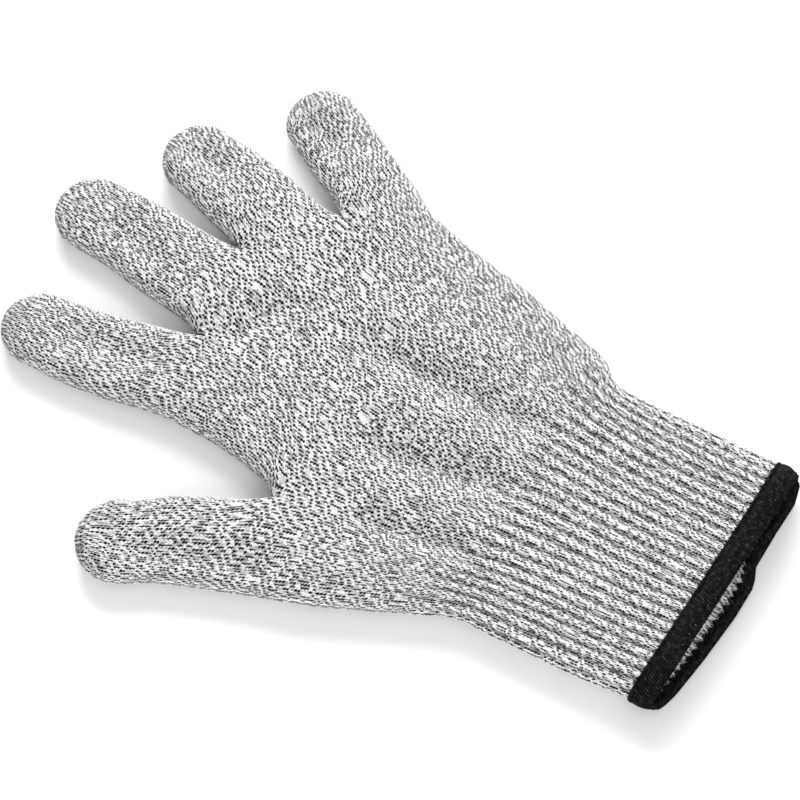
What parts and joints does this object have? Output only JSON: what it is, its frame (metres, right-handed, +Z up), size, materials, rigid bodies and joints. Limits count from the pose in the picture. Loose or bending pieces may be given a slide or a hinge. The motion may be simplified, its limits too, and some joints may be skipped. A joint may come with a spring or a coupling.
{
  "type": "cut-resistant knitted glove",
  "caption": "Seamless knitted cut-resistant work glove for butchery and deli work, grey melange yarn, ribbed elastic cuff with a black overlocked hem, lying flat palm up with folding stalls",
  "frame": {"origin": "under the middle of the glove's bounding box, on the surface that it lies on", "axes": "+Y runs from the cuff to the fingertips, the thumb is on the -X side, and +Z is up out of the palm side"},
  "size_m": [0.1782, 0.2474, 0.015],
  "materials": {
    "plain_knit": "matt grey melange plain knit of white, grey and near-black fibres",
    "ribbed_knit": "matt grey melange ribbed knit drawn in by elastic yarn",
    "elastic_yarn": "covered elastic yarn, pale grey",
    "overlock_thread": "black bulked overlock thread with a slight sheen"
  },
  "bodies": {
    "palm": {"five_finger_palm": "plain_knit", "four_finger_palm": "plain_knit"},
    "cuff": {"ribbed_cuff": "ribbed_knit", "cuff_elastic_1": "elastic_yarn", "cuff_elastic_2": "elastic_yarn", "cuff_elastic_3": "elastic_yarn", "cuff_elastic_4": "elastic_yarn", "cuff_elastic_5": "elastic_yarn", "cuff_elastic_6": "elastic_yarn", "cuff_elastic_7": "elastic_yarn", "cuff_elastic_8": "elastic_yarn", "hem_binding": "overlock_thread", "hem_needle_thread": "overlock_thread", "hem_edge_thread": "overlock_thread"},
    "index_finger_base": {"index_finger_base": "plain_knit"},
    "index_finger_mid": {"index_finger_mid": "plain_knit"},
    "index_finger_tip": {"index_finger_tip": "plain_knit"},
    "middle_finger_base": {"middle_finger_base": "plain_knit"},
    "middle_finger_mid": {"middle_finger_mid": "plain_knit"},
    "middle_finger_tip": {"middle_finger_tip": "plain_knit"},
    "ring_finger_base": {"ring_finger_base": "plain_knit"},
    "ring_finger_mid": {"ring_finger_mid": "plain_knit"},
    "ring_finger_tip": {"ring_finger_tip": "plain_knit"},
    "little_finger_base": {"little_finger_base": "plain_knit"},
    "little_finger_mid": {"little_finger_mid": "plain_knit"},
    "little_finger_tip": {"little_finger_tip": "plain_knit"},
    "thumb_base": {"thumb_base": "plain_knit"},
    "thumb_tip": {"thumb_tip": "plain_knit"}
  },
  "joints": [
    {"name": "wrist_fold", "type": "hinge", "parent": "palm", "child": "cuff", "pos_m": [-0.00701, -0.0536, 0.006], "axis": [-0.998, 0.0629, 0], "range_deg": [0, 70]},
    {"name": "index_finger_root", "type": "hinge", "parent": "palm", "child": "index_finger_base", "pos_m": [-0.02361, 0.06089, 0.005], "axis": [0.9981, 0.061, 0], "range_deg": [0, 70]},
    {"name": "index_finger_middle_knuckle", "type": "hinge", "parent": "index_finger_base", "child": "index_finger_mid", "pos_m": [-0.02574, 0.07827, 0.005], "axis": [0.9981, 0.061, 0], "range_deg": [0, 90]},
    {"name": "index_finger_end_knuckle", "type": "hinge", "parent": "index_finger_mid", "child": "index_finger_tip", "pos_m": [-0.02812, 0.09762, 0.005], "axis": [0.9981, 0.061, 0], "range_deg": [0, 45]},
    {"name": "middle_finger_root", "type": "hinge", "parent": "palm", "child": "middle_finger_base", "pos_m": [0.00799, 0.06089, 0.005], "axis": [0.998, -0.0628, 0], "range_deg": [0, 70]},
    {"name": "middle_finger_middle_knuckle", "type": "hinge", "parent": "middle_finger_base", "child": "middle_finger_mid", "pos_m": [0.01004, 0.07978, 0.005], "axis": [0.998, -0.0628, 0], "range_deg": [0, 90]},
    {"name": "middle_finger_end_knuckle", "type": "hinge", "parent": "middle_finger_mid", "child": "middle_finger_tip", "pos_m": [0.01242, 0.10165, 0.005], "axis": [0.998, -0.0628, 0], "range_deg": [0, 45]},
    {"name": "ring_finger_root", "type": "hinge", "parent": "palm", "child": "ring_finger_base", "pos_m": [0.03699, 0.05489, 0.005], "axis": [0.9884, -0.1521, 0], "range_deg": [0, 70]},
    {"name": "ring_finger_middle_knuckle", "type": "hinge", "parent": "ring_finger_base", "child": "ring_finger_mid", "pos_m": [0.04125, 0.07135, 0.005], "axis": [0.9884, -0.1521, 0], "range_deg": [0, 90]},
    {"name": "ring_finger_end_knuckle", "type": "hinge", "parent": "ring_finger_mid", "child": "ring_finger_tip", "pos_m": [0.04563, 0.0883, 0.005], "axis": [0.9884, -0.1521, 0], "range_deg": [0, 45]},
    {"name": "little_finger_root", "type": "hinge", "parent": "palm", "child": "little_finger_base", "pos_m": [0.06059, 0.03769, 0.005], "axis": [0.9744, -0.225, 0], "range_deg": [0, 70]},
    {"name": "little_finger_middle_knuckle", "type": "hinge", "parent": "little_finger_base", "child": "little_finger_mid", "pos_m": [0.06759, 0.04982, 0.005], "axis": [0.9744, -0.225, 0], "range_deg": [0, 90]},
    {"name": "little_finger_end_knuckle", "type": "hinge", "parent": "little_finger_mid", "child": "little_finger_tip", "pos_m": [0.07459, 0.06194, 0.005], "axis": [0.9744, -0.225, 0], "range_deg": [0, 45]},
    {"name": "thumb_root", "type": "hinge", "parent": "palm", "child": "thumb_base", "pos_m": [-0.06041, 0.0088, 0.0055], "axis": [0.9239, 0.3827, 0], "range_deg": [0, 55]},
    {"name": "thumb_end_knuckle", "type": "hinge", "parent": "thumb_base", "child": "thumb_tip", "pos_m": [-0.07074, 0.03374, 0.0055], "axis": [0.9239, 0.3827, 0], "range_deg": [0, 80]}
  ],
  "couplings": [
    {"joint": "index_finger_end_knuckle", "follows": "index_finger_middle_knuckle", "ratio": 0.5},
    {"joint": "middle_finger_end_knuckle", "follows": "middle_finger_middle_knuckle", "ratio": 0.5},
    {"joint": "ring_finger_end_knuckle", "follows": "ring_finger_middle_knuckle", "ratio": 0.5},
    {"joint": "little_finger_end_knuckle", "follows": "little_finger_middle_knuckle", "ratio": 0.5}
  ]
}
